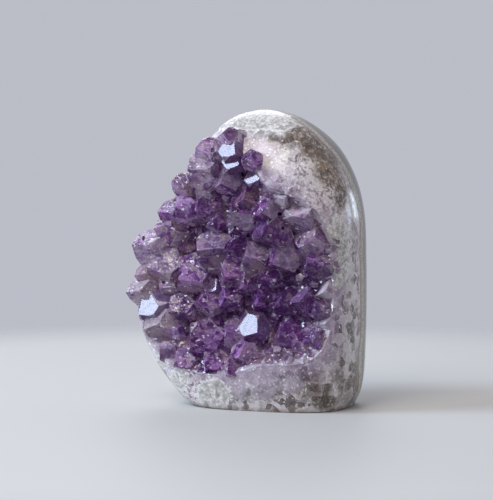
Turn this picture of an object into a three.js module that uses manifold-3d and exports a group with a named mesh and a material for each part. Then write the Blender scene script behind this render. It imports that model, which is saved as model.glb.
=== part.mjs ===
// An amethyst geode cut to stand: a polished stone of banded agate and quartz on a sawn flat base, with a
// hollow in its front that is lined by one crust of amethyst crystals.
// Millimetres, +Z up. The crystal face looks towards -Y. The origin is at the foot, under the middle of the
// whole piece.
import * as THREE from "three";
import { ConvexGeometry } from "three/addons/geometries/ConvexGeometry.js";
import { mergeVertices } from "three/addons/utils/BufferGeometryUtils.js";
import Module from "manifold-3d";

const wasm = await Module();
wasm.setup();
const radians = THREE.MathUtils.degToRad;

// The stone: its height, half its depth and the height where it is deepest, how far it leans back per
// millimetre of height, and the powers that make its level sections and its side view rounder or squarer.
const HEIGHT = 108.7;
const HALF_DEPTH = 28;
const DEEPEST_AT = 45;
const LEAN_BACK = 0.03;
const SQUARENESS = 3;
const DEPTH_ROUNDNESS = 2.4;
const STONE_ROWS = 28;
const STONE_AROUND = 40;

// The crust: its clearance to the stone, its floor's thickness, and how far crystals root below the floor.
const GAP = 0.3;
const CRUST_THICKNESS = 2.2;
const ROOT_DEPTH = 2;

// The stone is seen from VIEW_TURN to the right of its front, and the hollow looks FACE_TURN to the left.
const VIEW_TURN = radians(20);
const FACE_TURN = radians(6);

// The stone's outline from that side as [across, up], anticlockwise from the foot. The crystals stand
// proud of its upper left. The first points lie along the sawn foot.
const OUTLINE = [
  [-15, 0], [8, 0], [36.5, 0], [40.6, 1.6], [43.3, 10], [44.3, 28], [44.4, 53], [43.6, 71], [40, 84.8],
  [32.6, 96.8], [20, 105.8], [6.5, HEIGHT], [-7, 104.6], [-16.5, 93.6], [-25, 79.6], [-33, 63.6],
  [-38.6, 46], [-40, 32], [-34.2, 17], [-26.6, 6.4], [-21.3, 1.3],
];
const OUTLINE_STEPS = 24;

// The hollow: its middle [along the face, up], its reach from there every 30 degrees, from the right
// anticlockwise, and its floor, which is nearly flat and rises to the rim.
const HOLLOW_MIDDLE = [2, 52];
const HOLLOW_REACH = [80, 60, 43, 61, 69, 69, 65, 54, 46, 43, 46, 76];
const HOLLOW_FLOOR = 8;
const HOLLOW_RISE = 17;
const HOLLOW_POWER = 3;
const HOLLOW_MOUTH = 60;
const HOLLOW_AROUND = 40;
const HOLLOW_SHARES = [0.3, 0.55, 0.72, 0.84, 0.93, 1];
const REACH_STEPS = 12;
// The floor rises this far past its reach, so that it always leaves the stone.
const FLARE = 1.07;

// Quartz: the angle between its long axis and the normal of a tip face, how much further out every other
// tip face lies, and how much the faces' places vary, all in radii. A cap shows at CAP of the length.
const TIP_FACE = radians(51.8);
const SMALL_TIP = 0.32;
const TIP_VARIES = 0.12;
const SIDE_LEAST = 0.9;
const SIDE_VARIES = 0.14;
const CAP = 0.75;

// The crystals that show best: [across, up] of the cap as seen, the radius that shows, lean to the right and
// upwards in degrees from the hollow's own direction, turn about the axis in degrees, and length. Each is a
// little wider than what shows of it.
const WIDER = 1.28;
const LARGE_CRYSTALS = [
  // Upper left, along the edge of the stone.
  [-16.5, 93.8, 4.4, -28, 20, 10, 10], [-18.4, 86.6, 5.6, -22, 6, 35, 13], [-7.6, 99.6, 3, -8, 24, 0, 8],
  [-4.4, 93.4, 3.8, 4, 26, 24, 11], [-3.4, 89.4, 3.8, 4, 22, 24, 11], [1.5, 90.9, 3, 12, 8, 15, 8],
  [4.4, 83.8, 3.3, 8, 16, 40, 11], [-8.3, 82.2, 4.4, 0, -8, 20, 10], [-25.4, 81.2, 3.4, -38, 14, 5, 9],
  [-17.1, 79, 3, -20, 8, 50, 9],
  // Below them, towards the pale quartz on the right.
  [0, 76.8, 4.6, 6, 4, 30, 10], [13.4, 77.2, 3, 18, 0, 0, 8], [21.1, 70.3, 6.1, 24, -4, 12, 11],
  [24.3, 63, 5.2, 20, 12, 45, 12], [6.5, 72.1, 4.4, 12, -4, 25, 10], [7.3, 63.7, 5.6, -2, -8, 8, 12],
  [-4, 71.7, 5.2, -6, 10, 42, 11], [-16.7, 73.2, 3.6, -4, -6, 20, 9], [-12, 66.6, 3, -4, -4, 0, 8],
  [-3.6, 65.6, 3.2, 2, 0, 30, 8],
  // Left edge.
  [-24.3, 72.4, 3.8, -18, 4, 33, 11], [-30.3, 70.6, 4.4, -42, 12, 15, 10],
  [-39.2, 58.2, 5.4, -42, 14, 22, 13], [-31.6, 64.6, 4.4, -34, 10, 48, 11],
  [-33.6, 51.4, 5.6, -26, 6, 5, 13], [-38.6, 47.4, 3.8, -40, -4, 30, 10],
  [-41.2, 41.4, 4.6, -50, 0, 12, 12], [-36.4, 34.4, 4.8, -34, 16, 18, 14],
  [-30.1, 43.4, 3.5, -16, -10, 44, 10], [-26.1, 35.4, 4.6, -18, -6, 26, 11],
  [-35, 28.4, 5.4, -38, -12, 36, 12],
  // Middle.
  [-22.5, 47.8, 5.8, -12, -8, 28, 14], [-14.9, 57.6, 6.2, -14, 6, 52, 14], [-5.1, 58.3, 4.2, 2, 6, 14, 12],
  [1.5, 55.4, 4.8, -6, 14, 38, 12], [-16, 39.1, 4.8, -8, 8, 10, 11], [-6.5, 48.5, 4.6, 4, -6, 56, 12],
  [-11.3, 43.4, 3.2, -8, 12, 20, 10], [-6.9, 40.2, 3.9, 6, 4, 46, 11], [0, 45.2, 4.2, 4, -10, 32, 10],
  // The deep part of the hollow on the right.
  [10.9, 54.3, 5.5, 0, -14, 18, 10], [23.6, 53.9, 5.2, -8, 4, 40, 9], [29, 44.5, 5, 8, 6, 25, 8],
  [20, 40.2, 4.3, 6, 10, 5, 9], [25.8, 37.3, 2.8, 10, 4, 50, 8], [13.1, 39.4, 4.6, -4, 6, 15, 9],
  [5.4, 40.2, 4.3, 6, -6, 42, 9], [13.8, 27.5, 5.8, 0, 14, 28, 9], [6.5, 48.9, 3.6, -12, 2, 12, 9],
  // Lower edge, along the pale quartz.
  [3.2, 29.4, 4.3, 8, 26, 20, 14], [-5.8, 27.8, 4.3, -4, 8, 50, 11], [-17.6, 23.8, 6.2, -8, -8, 34, 14],
  [-24.5, 16.6, 3.8, -20, -14, 12, 9], [-13.4, 15.5, 4.8, -4, -14, 40, 9], [-1.5, 20.2, 4, 2, -8, 8, 10],
  [-5.8, 14, 4.2, 0, -14, 30, 8], [6.9, 13.7, 6.1, 4, 8, 55, 9], [14.9, 18.4, 2.8, 4, 4, 22, 8],
  [20.3, 17, 3.4, 6, 2, 38, 8], [24, 26.4, 3.6, 12, 6, 16, 9], [28.3, 22, 4.3, 16, 0, 38, 9],
  [33, 28.9, 4.8, 20, 4, 26, 8], [29, 32.5, 3.6, 14, 6, 10, 8], [21.1, 13, 3.6, 8, 0, 48, 8],
];

// Smaller crystals fill the rest, on a loose triangular grid from its lower left corner to FILL_RIGHT and
// FILL_TOP, where the floor lies FILL_BELOW under the stone's surface. They keep off the large ones, and
// those past LEAN_PAST lean out over the stone's left edge.
const FILL_START = [-43, 10];
const FILL_COUNT = [14, 17];
const FILL_TOP = 97;
const FILL_RIGHT = 36;
const FILL_PITCH = 6.6;
const FILL_LOOSE = 3.5;
const FILL_RADIUS = [3, 4.6];
const FILL_LENGTH = [7, 10];
const FILL_LEAN = [[-27, 17], [-20, 20]];
const FILL_CLOSE = 0.8;
const FILL_BELOW = 1.6;
const LEAN_PAST = -20;
const LEAN_RATE = 0.8;

// The large crystals that catch the light, by their number, and the way in which a tip face of each looks:
// the angle from the front towards the right, and the rise.
const SHINING = [3, 4, 6, 27, 37, 49];
const SHINING_TURN = radians(-16.6);
const SHINING_RISE = radians(21.7);

// Crystals right of this line end so far below the stone's surface, unless that makes them shorter than the
// least length, and those that root this near the surface are ground flush with it where they stand out.
const GROUND_RIGHT_OF = 3;
const ENDS_BELOW = 0.4;
const LEAST_LENGTH = 3.4;
const GROUND_DEPTH = 7;

// How many halvings find the stone's surface, and the steps that find a crystal's place and its length.
const HALVINGS = 24;
const PLACE_STEPS = 40;
const PLACE_STEP = 0.4;
const LENGTH_STEPS = 4;

// A repeatable number from 0 to 1 for a crystal's index and a use.
function chance(index, use) {
  const value = Math.sin(index * 127.1 + use * 311.7) * 43758.5453;
  return value - Math.floor(value);
}

const between = ([low, high], share) => low + (high - low) * share;

// A closed Catmull-Rom curve through the points, with the given number of steps from each to the next.
function closedCurve(points, steps) {
  const count = points.length;
  const made = [];
  for (let i = 0; i < count; i++) {
    const [a, b, c, d] = [-1, 0, 1, 2].map((k) => points[(i + k + count) % count]);
    for (let k = 0; k < steps; k++) {
      const t = k / steps;
      made.push(b.map((_, n) => 0.5 * (2 * b[n] + (c[n] - a[n]) * t
        + (2 * a[n] - 5 * b[n] + 4 * c[n] - d[n]) * t * t + (3 * b[n] - a[n] - 3 * c[n] + d[n]) * t ** 3)));
    }
  }
  return made;
}

// The outline's left and right edges, each rising from the foot to the top.
const outlineCurve = closedCurve(OUTLINE, OUTLINE_STEPS);
const topIndex = outlineCurve.reduce((best, p, i) => (p[1] > outlineCurve[best][1] ? i : best), 0);
const rightEdge = outlineCurve.slice(2 * OUTLINE_STEPS, topIndex + 1);
const leftEdge = [outlineCurve[0], ...outlineCurve.slice(topIndex).reverse()];

// How far across a rising edge is at a height.
function edgeAt(edge, height) {
  const i = edge.findIndex((p) => p[1] > height);
  if (i < 0) return edge.at(-1)[0];
  if (i === 0) return edge[0][0];
  const [low, high] = [edge[i - 1], edge[i]];
  return low[0] + ((high[0] - low[0]) * (height - low[1])) / (high[1] - low[1]);
}

// The stone's level section is a superellipse. Its width comes from the outline's, which is the section's
// extent as seen from VIEW_TURN, by the superellipse's support function.
function sectionAt(height) {
  const left = edgeAt(leftEdge, height);
  const right = edgeAt(rightEdge, height);
  const power = SQUARENESS / (SQUARENESS - 1);
  const rise = Math.abs((height - DEEPEST_AT) / (HEIGHT - DEEPEST_AT)) ** DEPTH_ROUNDNESS;
  const depth = HALF_DEPTH * Math.max(1 - rise, 0) ** (1 / DEPTH_ROUNDNESS);
  const seen = ((right - left) / 2) ** power - (depth * Math.sin(VIEW_TURN)) ** power;
  const width = Math.max(seen, 0) ** (1 / power) / Math.cos(VIEW_TURN);
  const y = LEAN_BACK * height;
  const x = ((right + left) / 2 - y * Math.sin(VIEW_TURN)) / Math.cos(VIEW_TURN);
  return { width, depth, x, y };
}

const signedPower = (value, power) => Math.sign(value) * Math.abs(value) ** power;

// A closed surface through rings of equal length, from the first ring's middle to the last one's.
function loft(rings, first, last) {
  const across = rings[0].length;
  const points = [first, ...rings.flat(), last];
  const at = (ring, i) => 1 + ring * across + (i % across);
  const faces = [];
  for (let i = 0; i < across; i++) {
    faces.push(0, at(0, i + 1), at(0, i));
    faces.push(points.length - 1, at(rings.length - 1, i), at(rings.length - 1, i + 1));
    for (let ring = 0; ring + 1 < rings.length; ring++) {
      faces.push(at(ring, i), at(ring, i + 1), at(ring + 1, i + 1));
      faces.push(at(ring, i), at(ring + 1, i + 1), at(ring + 1, i));
    }
  }
  const geometry = new THREE.BufferGeometry();
  geometry.setAttribute("position", new THREE.Float32BufferAttribute(points.flatMap((p) => [...p]), 3));
  geometry.setIndex(faces);
  return geometry;
}

// A closed geometry as a solid for cutting and joining.
function solid(geometry) {
  const bare = geometry.clone();
  bare.deleteAttribute("normal");
  bare.deleteAttribute("uv");
  const merged = mergeVertices(bare, 1e-4);
  return new wasm.Manifold(new wasm.Mesh({
    numProp: 3,
    vertProperties: merged.attributes.position.array,
    triVerts: new Uint32Array(merged.index.array),
  }));
}

// The whole stone before the hollow is cut, optionally grown by a margin on every side but its height.
function wholeStone(grow = 0) {
  const rings = [];
  for (let row = 0; row < STONE_ROWS; row++) {
    const height = (HEIGHT * (1 - Math.cos((Math.PI * row) / STONE_ROWS))) / 2;
    const section = sectionAt(height);
    const ring = [];
    for (let i = 0; i < STONE_AROUND; i++) {
      const angle = (2 * Math.PI * i) / STONE_AROUND;
      ring.push([
        section.x + (section.width + grow) * signedPower(Math.cos(angle), 2 / SQUARENESS),
        section.y + (section.depth + grow) * signedPower(Math.sin(angle), 2 / SQUARENESS),
        row === 0 ? -grow : height,
      ]);
    }
    rings.push(ring);
  }
  const foot = sectionAt(0);
  const top = sectionAt(HEIGHT);
  return solid(loft(rings, [foot.x, foot.y, -grow], [top.x, top.y, HEIGHT + grow]));
}

// A point of the hollow's own axes, along the face, outwards and up, as a point of the stone's.
function fromFace(along, out, up) {
  return new THREE.Vector3(
    along * Math.cos(FACE_TURN) - out * Math.sin(FACE_TURN),
    -along * Math.sin(FACE_TURN) - out * Math.cos(FACE_TURN),
    up,
  );
}

const reachCurve = closedCurve(HOLLOW_REACH.map((reach) => [reach]), REACH_STEPS).map(([reach]) => reach);

// The hollow's reach from its middle in a direction, in radians.
function reachAt(angle) {
  const place = (((angle / (2 * Math.PI)) % 1) + 1) % 1 * reachCurve.length;
  const low = Math.floor(place);
  const share = place - low;
  const [before, after] = [0, 1].map((next) => reachCurve[(low + next) % reachCurve.length]);
  return before * (1 - share) + after * share;
}

// How far out the hollow's floor is at a share of its reach.
const floorOut = (share) => HOLLOW_FLOOR + HOLLOW_RISE * share ** HOLLOW_POWER;

// The space in front of the hollow's floor, taken in by a margin.
function hollow(margin = 0) {
  const shares = [...HOLLOW_SHARES, FLARE];
  const ringAt = (share, out) => Array.from({ length: HOLLOW_AROUND }, (_, i) => {
    const angle = (2 * Math.PI * i) / HOLLOW_AROUND;
    const reach = share * reachAt(angle) - margin;
    const [along, up] = [reach * Math.cos(angle), reach * Math.sin(angle)];
    return fromFace(HOLLOW_MIDDLE[0] + along, out, HOLLOW_MIDDLE[1] + up);
  });
  const rings = shares.map((share) => ringAt(share, floorOut(share) + margin));
  rings.push(ringAt(shares.at(-1), HOLLOW_MOUTH));
  const middle = (out) => fromFace(HOLLOW_MIDDLE[0], out, HOLLOW_MIDDLE[1]);
  return solid(loft(rings, middle(floorOut(0) + margin), middle(HOLLOW_MOUTH)));
}

// The crust's own floor: a layer that follows the hollow's, which the crystals stand on.
function crustFloor() {
  return hollow(-ROOT_DEPTH).subtract(hollow(CRUST_THICKNESS));
}

// How far out the stone's surface is at a place on the face, found by halving.
function surfaceOut(along, up) {
  const section = sectionAt(Math.min(Math.max(up, 0), HEIGHT - 0.01));
  let [inside, outside] = [-HALF_DEPTH / 2, HOLLOW_MOUTH];
  for (let i = 0; i < HALVINGS; i++) {
    const out = (inside + outside) / 2;
    const p = fromFace(along, out, up);
    const reach = Math.abs((p.x - section.x) / section.width) ** SQUARENESS
      + Math.abs((p.y - section.y) / section.depth) ** SQUARENESS;
    if (reach < 1) inside = out;
    else outside = out;
  }
  return inside;
}

// How far out the hollow's floor is at a place on the face.
function floorAt(along, up) {
  const [dx, dz] = [along - HOLLOW_MIDDLE[0], up - HOLLOW_MIDDLE[1]];
  return floorOut(Math.min(Math.hypot(dx, dz) / reachAt(Math.atan2(dz, dx)), FLARE));
}

// How far out a crystal's root is: on the hollow's floor, or on the stone where that lies further in.
const rootOut = (along, up) => Math.min(floorAt(along, up), surfaceOut(along, up));

// The place on the face, along it, that is seen at a distance across, found by stepping towards it.
function alongFor(across, up) {
  const turn = VIEW_TURN + FACE_TURN;
  let along = across;
  for (let i = 0; i < PLACE_STEPS; i++) {
    along += PLACE_STEP * ((across + rootOut(along, up) * Math.sin(turn)) / Math.cos(turn) - along);
  }
  return along;
}

// One crystal: a six-sided prism with six tip faces, of which every other one is smaller, as the corners
// that its planes leave.
function crystalGeometry(radius, length, index) {
  const planes = [[new THREE.Vector3(0, 0, -1), ROOT_DEPTH]];
  for (let side = 0; side < 6; side++) {
    const angle = (Math.PI / 3) * side;
    const [x, y] = [Math.cos(angle), Math.sin(angle)];
    planes.push([new THREE.Vector3(x, y, 0), radius * (SIDE_LEAST + SIDE_VARIES * chance(index, side))]);
    const tip = new THREE.Vector3(x * Math.sin(TIP_FACE), y * Math.sin(TIP_FACE), Math.cos(TIP_FACE));
    const further = radius * ((side % 2) * SMALL_TIP + TIP_VARIES * chance(index, side + 6));
    planes.push([tip, length * Math.cos(TIP_FACE) + further]);
  }
  const corners = [];
  for (let i = 0; i < planes.length; i++) {
    for (let j = i + 1; j < planes.length; j++) {
      for (let k = j + 1; k < planes.length; k++) {
        const [[a, p], [b, q], [c, r]] = [planes[i], planes[j], planes[k]];
        const cross = new THREE.Vector3().crossVectors(b, c);
        const size = a.dot(cross);
        if (Math.abs(size) < 1e-6) continue;
        const corner = cross.multiplyScalar(p)
          .addScaledVector(new THREE.Vector3().crossVectors(c, a), q)
          .addScaledVector(new THREE.Vector3().crossVectors(a, b), r)
          .divideScalar(size);
        if (planes.every(([n, far]) => n.dot(corner) < far + 1e-6)) corners.push(corner);
      }
    }
  }
  return new ConvexGeometry(corners);
}

// The shortest turn that makes the nearest larger tip face of a turned crystal look the shining way.
function turnToLight(turned) {
  const way = new THREE.Vector3(
    Math.sin(SHINING_TURN) * Math.cos(SHINING_RISE),
    -Math.cos(SHINING_TURN) * Math.cos(SHINING_RISE),
    Math.sin(SHINING_RISE),
  );
  const tips = [0, 2, 4].map((side) => {
    const angle = (Math.PI / 3) * side;
    const across = Math.sin(TIP_FACE);
    const tip = new THREE.Vector3(Math.cos(angle) * across, Math.sin(angle) * across, Math.cos(TIP_FACE));
    return tip.applyQuaternion(turned);
  });
  const nearest = tips.reduce((best, tip) => (tip.dot(way) > best.dot(way) ? tip : best));
  return new THREE.Quaternion().setFromUnitVectors(nearest, way);
}

// A crystal at the place where its cap is seen, standing on the hollow's floor. On the right its length is
// settled in a few steps, because a shorter one roots elsewhere.
function crystal({ row, index }) {
  const [across, up, radius, right, upwards, turn, full] = row;
  const upright = new THREE.Vector3(0, 0, 1);
  const leaning = fromFace(Math.tan(radians(right)), 1, Math.tan(radians(upwards))).normalize();
  const turned = new THREE.Quaternion().setFromUnitVectors(upright, leaning)
    .multiply(new THREE.Quaternion().setFromAxisAngle(upright, radians(turn)));
  if (SHINING.includes(index)) turned.premultiply(turnToLight(turned));
  const axis = upright.clone().applyQuaternion(turned);
  const seenAcross = axis.x * Math.cos(VIEW_TURN) + axis.y * Math.sin(VIEW_TURN);
  let length = full;
  let [along, rootUp, below] = [0, 0, 0];
  for (let i = 0; i < LENGTH_STEPS; i++) {
    rootUp = up - CAP * length * axis.z;
    along = alongFor(across - CAP * length * seenAcross, rootUp);
    below = surfaceOut(along, rootUp) - floorAt(along, rootUp);
    if (across > GROUND_RIGHT_OF) length = Math.min(full, Math.max(below - ENDS_BELOW, LEAST_LENGTH));
  }
  const root = fromFace(along, rootOut(along, rootUp), rootUp);
  const geometry = crystalGeometry(radius, length, index);
  geometry.applyQuaternion(turned);
  geometry.translate(root.x, root.y, root.z);
  const made = solid(geometry);
  return across > GROUND_RIGHT_OF && below < GROUND_DEPTH ? made.intersect(whole) : made;
}

const largeCrystals = LARGE_CRYSTALS.map(([across, up, radius, ...rest], index) => (
  { row: [across, up, radius * WIDER, ...rest], index }));

// The smaller crystals' rows, in the same terms as the large ones, wherever no large one is close.
function fillCrystals() {
  const made = [];
  for (let row = 0; row < FILL_COUNT[1]; row++) {
    for (let column = 0; column < FILL_COUNT[0]; column++) {
      const index = LARGE_CRYSTALS.length + row * FILL_COUNT[0] + column;
      const shift = [chance(index, 20), chance(index, 21)].map((share) => FILL_LOOSE * (share - 0.5));
      const across = FILL_START[0] + FILL_PITCH * (column + (row % 2) / 2) + shift[0];
      const up = FILL_START[1] + FILL_PITCH * Math.sin(Math.PI / 3) * row + shift[1];
      const radius = between(FILL_RADIUS, chance(index, 22));
      const along = alongFor(across, up);
      const onFloor = surfaceOut(along, up) > floorAt(along, up) + FILL_BELOW;
      const within = across > edgeAt(leftEdge, up) && across < FILL_RIGHT && up < FILL_TOP;
      const close = ([x, z, large]) => Math.hypot(x - across, z - up) < FILL_CLOSE * (large + radius);
      if (!onFloor || !within || largeCrystals.some((other) => close(other.row))) continue;
      const right = between(FILL_LEAN[0], chance(index, 23)) + LEAN_RATE * Math.min(0, across - LEAN_PAST);
      const upwards = between(FILL_LEAN[1], chance(index, 24));
      const turn = 60 * chance(index, 25);
      const length = between(FILL_LENGTH, chance(index, 26));
      made.push({ row: [across, up, radius, right, upwards, turn, length], index });
    }
  }
  return made;
}

// A named mesh of a solid.
function part(name, made, material) {
  const { vertProperties, triVerts } = made.getMesh();
  const geometry = new THREE.BufferGeometry();
  geometry.setAttribute("position", new THREE.BufferAttribute(vertProperties, 3));
  geometry.setIndex(new THREE.BufferAttribute(triVerts, 1));
  const flat = geometry.toNonIndexed();
  flat.computeVertexNormals();
  const mesh = new THREE.Mesh(flat, material);
  mesh.name = name;
  return mesh;
}

const whole = wholeStone();
const stone = whole.subtract(hollow());
const keepClear = wholeStone(GAP).subtract(hollow(GAP));
const crystals = wasm.Manifold.union([...largeCrystals, ...fillCrystals()].map(crystal));
const joined = crustFloor().intersect(whole).add(crystals).subtract(keepClear);
const crust = joined.decompose().reduce((best, piece) => (piece.volume() > best.volume() ? piece : best));

const geode = new THREE.Group();
geode.add(
  part("polished_stone", stone, new THREE.MeshStandardMaterial({ color: 0xa89d97, roughness: 0.2 })),
  part("amethyst_crust", crust, new THREE.MeshStandardMaterial({ color: 0x7a4f96, roughness: 0.1 })),
);
const middle = new THREE.Box3().setFromObject(geode).getCenter(new THREE.Vector3());
for (const mesh of geode.children) mesh.position.set(-middle.x, -middle.y, 0);

export default geode;
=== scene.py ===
"""An amethyst geode cut to stand: its polished stone, its crust of crystals and a pale studio floor."""
import math

import bmesh
import bpy
import numpy as np
from bpy.props import FloatProperty, FloatVectorProperty, IntProperty, PointerProperty
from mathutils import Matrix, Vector


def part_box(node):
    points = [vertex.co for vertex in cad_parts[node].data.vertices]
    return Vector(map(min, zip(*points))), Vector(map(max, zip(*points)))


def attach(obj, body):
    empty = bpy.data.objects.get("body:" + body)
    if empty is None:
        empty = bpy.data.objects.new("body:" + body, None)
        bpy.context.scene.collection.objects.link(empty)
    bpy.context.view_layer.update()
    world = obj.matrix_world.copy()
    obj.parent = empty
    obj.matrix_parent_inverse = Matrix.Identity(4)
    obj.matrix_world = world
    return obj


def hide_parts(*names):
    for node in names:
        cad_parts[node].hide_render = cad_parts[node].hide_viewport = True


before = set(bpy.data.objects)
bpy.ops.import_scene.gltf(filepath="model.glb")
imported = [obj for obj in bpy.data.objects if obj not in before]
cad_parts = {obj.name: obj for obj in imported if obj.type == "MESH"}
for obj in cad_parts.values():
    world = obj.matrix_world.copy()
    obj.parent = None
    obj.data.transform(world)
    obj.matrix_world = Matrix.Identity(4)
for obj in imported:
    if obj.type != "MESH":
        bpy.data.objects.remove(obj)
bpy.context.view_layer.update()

bl_info = {
    "name": "Amethyst geode",
    "version": (1, 0, 0),
    "blender": (4, 5, 0),
    "location": "3D View > Sidebar > Geode",
    "description": "Builds the stone, the crystals and the studio of a cut amethyst geode",
    "category": "Object",
}

MM = 0.001

# The stone, in millimetres, as in the solids: its height, half its depth and the height where it is
# deepest, how far it leans back per millimetre, the powers of its level sections and its side view, how far
# the photograph's view and the hollow's face are turned from the front, and its outline in that view.
HEIGHT = 108.7
HALF_DEPTH = 28.0
DEEPEST_AT = 45.0
LEAN_BACK = 0.03
SQUARENESS = 3.0
DEPTH_ROUNDNESS = 2.4
VIEW_TURN = math.radians(20)
FACE_TURN = math.radians(6)
OUTLINE = [
    (-15, 0), (8, 0), (36.5, 0), (40.6, 1.6), (43.3, 10), (44.3, 28), (44.4, 53), (43.6, 71), (40, 84.8),
    (32.6, 96.8), (20, 105.8), (6.5, HEIGHT), (-7, 104.6), (-16.5, 93.6), (-25, 79.6), (-33, 63.6),
    (-38.6, 46), (-40, 32), (-34.2, 17), (-26.6, 6.4), (-21.3, 1.3),
]
OUTLINE_STEPS = 24
# Sections are taken no nearer to the ends than this, and at so many levels for the box.
END_GAP = 0.1
BOX_LEVELS = 400

# The hollow: its middle on the face, its reach from there every 30 degrees, and its floor. Its meshes have
# rings at shares of its reach, the last one at its mouth.
HOLLOW_MIDDLE = (2.0, 52.0)
HOLLOW_REACH = (80, 60, 43, 61, 69, 69, 65, 54, 46, 43, 46, 76)
REACH_STEPS = 12
HOLLOW_FLOOR = 8.0
HOLLOW_RISE = 17.0
HOLLOW_POWER = 3
HOLLOW_MOUTH = 60.0
FLARE = 1.07
RING_SHARES = np.append(np.linspace(0.12, 1, 14) ** 0.7, [FLARE, FLARE])
WALL_AROUND = 160
CRUST_AROUND = 96
CRUST_THICKNESS = 2.2
ROOT_DEPTH = 2.0

# How often a place is halved or stepped until it settles, and the share of the way that a step takes.
HALVINGS = 24
PLACE_STEPS = 40
PLACE_STEP = 0.4
LENGTH_STEPS = 4

# Quartz: a crystal's planes, which are a foot, six sides and six tip faces, the angle between its long axis
# and the normal of a tip face, how the faces' places vary, and the share of its length from its root to the
# middle of what shows.
OWN_PLANES = 13
TIP_FACE = math.radians(51.8)
SMALL_TIP = 0.32
TIP_VARIES = 0.12
SIDE_LEAST = 0.9
SIDE_VARIES = 0.14
CAP = 0.75

# How far inside an edge its worn face lies at least and at most, for a crystal of 1 mm radius.
EDGE_WEAR = (0.02, 0.045)

# The factors of chance, and the numbers that tell its uses apart.
CHANCE = (127.1, 311.7, 43758.5453)
FOR_ACROSS, FOR_UP, FOR_RADIUS, FOR_RIGHT, FOR_UPWARDS, FOR_TURN, FOR_LENGTH = range(20, 27)
FOR_TINT, FOR_WEAR, FOR_FACET = 40, 60, 100

# The large crystals: where the cap is seen across and up, the radius that shows, lean to the right and
# upwards in degrees, turn about the axis in degrees, and length. Each is a little wider than what shows.
WIDER = 1.28
LARGE_CRYSTALS = [
    # Upper left, along the edge of the stone.
    (-16.5, 93.8, 4.4, -28, 20, 10, 10), (-18.4, 86.6, 5.6, -22, 6, 35, 13), (-7.6, 99.6, 3, -8, 24, 0, 8),
    (-4.4, 93.4, 3.8, 4, 26, 24, 11), (-3.4, 89.4, 3.8, 4, 22, 24, 11), (1.5, 90.9, 3, 12, 8, 15, 8),
    (4.4, 83.8, 3.3, 8, 16, 40, 11), (-8.3, 82.2, 4.4, 0, -8, 20, 10), (-25.4, 81.2, 3.4, -38, 14, 5, 9),
    (-17.1, 79, 3, -20, 8, 50, 9),
    # Below them, towards the pale quartz on the right.
    (0, 76.8, 4.6, 6, 4, 30, 10), (13.4, 77.2, 3, 18, 0, 0, 8), (21.1, 70.3, 6.1, 24, -4, 12, 11),
    (24.3, 63, 5.2, 20, 12, 45, 12), (6.5, 72.1, 4.4, 12, -4, 25, 10), (7.3, 63.7, 5.6, -2, -8, 8, 12),
    (-4, 71.7, 5.2, -6, 10, 42, 11), (-16.7, 73.2, 3.6, -4, -6, 20, 9), (-12, 66.6, 3, -4, -4, 0, 8),
    (-3.6, 65.6, 3.2, 2, 0, 30, 8),
    # Left edge.
    (-24.3, 72.4, 3.8, -18, 4, 33, 11), (-30.3, 70.6, 4.4, -42, 12, 15, 10),
    (-39.2, 58.2, 5.4, -42, 14, 22, 13), (-31.6, 64.6, 4.4, -34, 10, 48, 11),
    (-33.6, 51.4, 5.6, -26, 6, 5, 13), (-38.6, 47.4, 3.8, -40, -4, 30, 10),
    (-41.2, 41.4, 4.6, -50, 0, 12, 12), (-36.4, 34.4, 4.8, -34, 16, 18, 14),
    (-30.1, 43.4, 3.5, -16, -10, 44, 10), (-26.1, 35.4, 4.6, -18, -6, 26, 11),
    (-35, 28.4, 5.4, -38, -12, 36, 12),
    # Middle.
    (-22.5, 47.8, 5.8, -12, -8, 28, 14), (-14.9, 57.6, 6.2, -14, 6, 52, 14), (-5.1, 58.3, 4.2, 2, 6, 14, 12),
    (1.5, 55.4, 4.8, -6, 14, 38, 12), (-16, 39.1, 4.8, -8, 8, 10, 11), (-6.5, 48.5, 4.6, 4, -6, 56, 12),
    (-11.3, 43.4, 3.2, -8, 12, 20, 10), (-6.9, 40.2, 3.9, 6, 4, 46, 11), (0, 45.2, 4.2, 4, -10, 32, 10),
    # The deep part of the hollow on the right.
    (10.9, 54.3, 5.5, 0, -14, 18, 10), (23.6, 53.9, 5.2, -8, 4, 40, 9), (29, 44.5, 5, 8, 6, 25, 8),
    (20, 40.2, 4.3, 6, 10, 5, 9), (25.8, 37.3, 2.8, 10, 4, 50, 8), (13.1, 39.4, 4.6, -4, 6, 15, 9),
    (5.4, 40.2, 4.3, 6, -6, 42, 9), (13.8, 27.5, 5.8, 0, 14, 28, 9), (6.5, 48.9, 3.6, -12, 2, 12, 9),
    # Lower edge, along the pale quartz.
    (3.2, 29.4, 4.3, 8, 26, 20, 14), (-5.8, 27.8, 4.3, -4, 8, 50, 11), (-17.6, 23.8, 6.2, -8, -8, 34, 14),
    (-24.5, 16.6, 3.8, -20, -14, 12, 9), (-13.4, 15.5, 4.8, -4, -14, 40, 9), (-1.5, 20.2, 4, 2, -8, 8, 10),
    (-5.8, 14, 4.2, 0, -14, 30, 8), (6.9, 13.7, 6.1, 4, 8, 55, 9), (14.9, 18.4, 2.8, 4, 4, 22, 8),
    (20.3, 17, 3.4, 6, 2, 38, 8), (24, 26.4, 3.6, 12, 6, 16, 9), (28.3, 22, 4.3, 16, 0, 38, 9),
    (33, 28.9, 4.8, 20, 4, 26, 8), (29, 32.5, 3.6, 14, 6, 10, 8), (21.1, 13, 3.6, 8, 0, 48, 8),
]

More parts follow.
